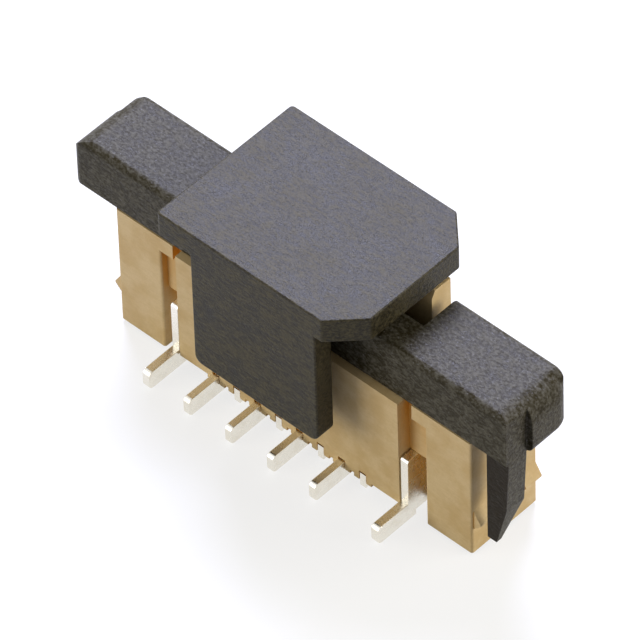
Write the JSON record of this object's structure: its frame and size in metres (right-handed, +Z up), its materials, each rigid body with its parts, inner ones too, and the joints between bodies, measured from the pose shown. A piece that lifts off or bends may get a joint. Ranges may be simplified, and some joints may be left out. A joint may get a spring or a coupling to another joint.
{
  "type": "fpc connector",
  "caption": "Vertical flat flexible cable connector with a lift-up locking slider, staggered solder tails and a removable pick-up cap.",
  "frame": {"origin": "on the board plane, under the middle of the housing", "axes": "+X along the row of contacts, -Y the side the slider's bar is on, +Z up away from the board"},
  "size_m": [0.0104, 0.0036, 0.0049],
  "materials": {
    "housing_resin": "fine matte, tan glass filled resin",
    "slider_resin": "grained matte, dark brown grey glass filled resin",
    "cap_resin": "smooth matte, dark grey heat resistant resin",
    "tinned_bronze": "satin tin plating over bronze sheet"
  },
  "bodies": {
    "base": {"housing": "housing_resin", "solder_nail_left": "tinned_bronze", "solder_nail_right": "tinned_bronze", "contact_front_1": "tinned_bronze", "contact_front_2": "tinned_bronze", "contact_front_3": "tinned_bronze", "contact_front_4": "tinned_bronze", "contact_rear_1": "tinned_bronze", "contact_rear_2": "tinned_bronze", "contact_rear_3": "tinned_bronze", "contact_rear_4": "tinned_bronze"},
    "slider": {"slider": "slider_resin"},
    "cap": {"pickup_cap": "cap_resin"}
  },
  "joints": [
    {"name": "slider_lift", "type": "slide", "parent": "base", "child": "slider", "axis": [0, 0, 1], "range_m": [0, 0.0009]},
    {"name": "cap_lift", "type": "slide", "parent": "slider", "child": "cap", "axis": [0, 0, 1], "range_m": [0, 0.003]}
  ]
}
